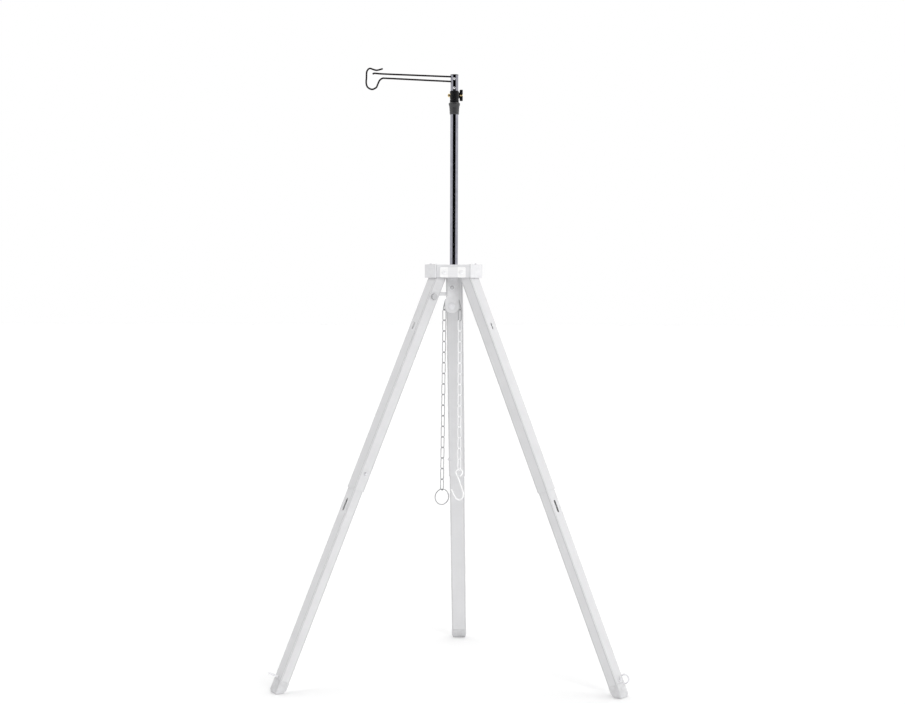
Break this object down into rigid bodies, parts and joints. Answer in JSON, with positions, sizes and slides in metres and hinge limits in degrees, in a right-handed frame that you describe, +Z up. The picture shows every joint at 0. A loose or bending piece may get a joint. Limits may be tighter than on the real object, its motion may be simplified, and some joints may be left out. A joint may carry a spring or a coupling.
{
  "type": "lantern stand",
  "caption": "Folding three-leg camp stand of rectangular tube with a hub, pulley, chain and pot hook, and a round extending pole with a wire lantern hook.",
  "frame": {"origin": "on the floor, at the centre of the box round the standing object", "axes": "+Z up; the arm with the lantern hook points along -X; the rear leg points along +Y; the badge faces -Y"},
  "size_m": [0.8117, 0.7106, 1.4349],
  "materials": {
    "leg_metal": "satin pale grey",
    "hub_cast": "satin",
    "badge_steel": "bright brushed",
    "grey_plastic": "matte",
    "zinc_steel": "zinc plated",
    "bright_steel": "polished",
    "yoke_paint": "satin",
    "chain_steel": "bright zinc",
    "hook_steel": "bright",
    "pole_metal": "glossy dark anodised",
    "grip_rubber": "matte",
    "brass": "satin",
    "black_wire": "semi-gloss black",
    "black_plastic": "moulded"
  },
  "bodies": {
    "frame": {"hub_body": "hub_cast", "badge_plate": "badge_steel", "badge_screw_left": "badge_steel", "badge_screw_right": "badge_steel", "corner_block_left": "hub_cast", "corner_block_right": "hub_cast", "corner_block_rear": "hub_cast", "corner_screw_left": "zinc_steel", "corner_screw_right": "zinc_steel", "corner_screw_rear": "zinc_steel", "pivot_pin_left": "zinc_steel", "pivot_pin_right": "zinc_steel", "pivot_pin_rear": "zinc_steel", "pulley_yoke": "yoke_paint", "yoke_screw": "zinc_steel", "yoke_spacer": "bright_steel", "chain_peg": "yoke_paint", "pulley_axle": "zinc_steel", "chain_over_wheel": "chain_steel"},
    "upper_leg_left": {"upper_tube_left": "leg_metal"},
    "lower_leg_left": {"lower_tube_left": "leg_metal", "foot_left": "grey_plastic", "button_spring_left": "zinc_steel"},
    "button_left": {"snap_button_left": "bright_steel"},
    "eye_left": {"eye_bolt_left": "zinc_steel"},
    "upper_leg_right": {"upper_tube_right": "leg_metal"},
    "lower_leg_right": {"lower_tube_right": "leg_metal", "foot_right": "grey_plastic", "button_spring_right": "zinc_steel"},
    "button_right": {"snap_button_right": "bright_steel"},
    "eye_right": {"eye_bolt_right": "zinc_steel"},
    "upper_leg_rear": {"upper_tube_rear": "leg_metal"},
    "lower_leg_rear": {"lower_tube_rear": "leg_metal", "foot_rear": "grey_plastic", "button_spring_rear": "zinc_steel"},
    "button_rear": {"snap_button_rear": "bright_steel"},
    "eye_rear": {"eye_bolt_rear": "zinc_steel"},
    "leg_knob": {"leg_knob": "grey_plastic"},
    "wheel": {"pulley_wheel": "grey_plastic"},
    "ring_chain": {"chain_ring_side": "chain_steel"},
    "hook_chain": {"chain_hook_side": "chain_steel"},
    "pull_ring": {"pull_ring": "chain_steel"},
    "pot_hook": {"pot_hook": "hook_steel"},
    "pole": {"pole_tube": "pole_metal", "pole_foot": "black_plastic", "pole_collar": "grip_rubber", "clamp_body": "black_plastic", "clamp_bolt": "brass", "clamp_nut": "brass"},
    "extension": {"inner_tube": "pole_metal"},
    "head": {"head_sleeve": "pole_metal", "head_plug": "black_plastic", "head_cap": "black_plastic", "head_screw_top": "bright_steel", "head_screw_bottom": "bright_steel", "hook_wire": "black_wire", "keeper_wire": "black_wire"},
    "knob": {"clamp_knob": "black_plastic", "knob_insert": "brass"}
  },
  "joints": [
    {"name": "leg_fold_left", "type": "hinge", "parent": "frame", "child": "upper_leg_left", "pos_m": [-0.03334, -0.12645, 0.952], "axis": [-0.5, 0.866, 0], "range_deg": [-23.2, 0]},
    {"name": "leg_slide_left", "type": "slide", "parent": "upper_leg_left", "child": "lower_leg_left", "axis": [-0.3412, -0.197, -0.9191], "range_m": [-0.365, 0], "deforming": ["snap_button_left"]},
    {"name": "button_press_left", "type": "slide", "parent": "lower_leg_left", "child": "button_left", "axis": [-0.5, 0.866, 0], "range_m": [0, 0.0047], "stiffness_N_per_m": 500, "springref_m": -0.002, "deforming": ["button_spring_left"]},
    {"name": "eye_turn_left", "type": "hinge", "parent": "lower_leg_left", "child": "eye_left", "pos_m": [-0.384, -0.3289, 0.03648], "axis": [-0.796, -0.4596, 0.3939], "continuous": true},
    {"name": "leg_fold_right", "type": "hinge", "parent": "frame", "child": "upper_leg_right", "pos_m": [0.03334, -0.12645, 0.952], "axis": [-0.5, -0.866, 0], "range_deg": [-23.2, 0]},
    {"name": "leg_slide_right", "type": "slide", "parent": "upper_leg_right", "child": "lower_leg_right", "axis": [0.3412, -0.197, -0.9191], "range_m": [-0.365, 0], "deforming": ["snap_button_right"]},
    {"name": "button_press_right", "type": "slide", "parent": "lower_leg_right", "child": "button_right", "axis": [-0.5, -0.866, 0], "range_m": [0, 0.0047], "stiffness_N_per_m": 500, "springref_m": -0.002, "deforming": ["button_spring_right"]},
    {"name": "eye_turn_right", "type": "hinge", "parent": "lower_leg_right", "child": "eye_right", "pos_m": [0.384, -0.3289, 0.03648], "axis": [0.796, -0.4596, 0.3939], "continuous": true},
    {"name": "leg_fold_rear", "type": "hinge", "parent": "frame", "child": "upper_leg_rear", "pos_m": [0, -0.0687, 0.952], "axis": [1, 0, 0], "range_deg": [-23.2, 0]},
    {"name": "leg_slide_rear", "type": "slide", "parent": "upper_leg_rear", "child": "lower_leg_rear", "axis": [0, 0.3939, -0.9191], "range_m": [-0.365, 0], "deforming": ["snap_button_rear"]},
    {"name": "button_press_rear", "type": "slide", "parent": "lower_leg_rear", "child": "button_rear", "axis": [1, 0, 0], "range_m": [0, 0.0047], "stiffness_N_per_m": 500, "springref_m": -0.002, "deforming": ["button_spring_rear"]},
    {"name": "eye_turn_rear", "type": "hinge", "parent": "lower_leg_rear", "child": "eye_rear", "pos_m": [0, 0.33621, 0.03648], "axis": [0, 0.9191, 0.3939], "continuous": true},
    {"name": "leg_knob_turn", "type": "hinge", "parent": "upper_leg_left", "child": "leg_knob", "pos_m": [-0.04449, -0.15598, 0.89501], "axis": [0.5, -0.866, 0], "range_deg": [0, 360]},
    {"name": "wheel_spin", "type": "hinge", "parent": "frame", "child": "wheel", "pos_m": [-0.004, -0.0962, 0.873], "axis": [0, 1, 0], "continuous": true},
    {"name": "ring_chain_swing", "type": "hinge", "parent": "frame", "child": "ring_chain", "pos_m": [-0.0223, -0.0962, 0.8394], "axis": [-0.5, -0.866, 0], "range_deg": [-20, 18]},
    {"name": "hook_chain_swing", "type": "hinge", "parent": "frame", "child": "hook_chain", "pos_m": [0.0143, -0.0962, 0.8394], "axis": [-0.5, 0.866, 0], "range_deg": [-20, 6]},
    {"name": "pull_ring_swing", "type": "hinge", "parent": "ring_chain", "child": "pull_ring", "pos_m": [-0.0267, -0.0962, 0.4378], "axis": [1, 0, 0], "range_deg": [-60, 60]},
    {"name": "pot_hook_swing", "type": "hinge", "parent": "hook_chain", "child": "pot_hook", "pos_m": [0.0143, -0.0962, 0.4859], "axis": [1, 0, 0], "range_deg": [-60, 60]},
    {"name": "pole_lift_out", "type": "slide", "parent": "frame", "child": "pole", "axis": [0, 0, 1], "range_m": [0, 0.3]},
    {"name": "pole_extend", "type": "slide", "parent": "pole", "child": "extension", "axis": [0, 0, 1], "range_m": [0, 0.22]},
    {"name": "head_swivel", "type": "hinge", "parent": "extension", "child": "head", "pos_m": [0, -0.1072, 1.39], "axis": [0, 0, 1], "continuous": true},
    {"name": "clamp_knob_turn", "type": "hinge", "parent": "pole", "child": "knob", "pos_m": [0.0102, -0.0942, 1.371], "axis": [1, 0, 0], "range_deg": [0, 360]}
  ]
}
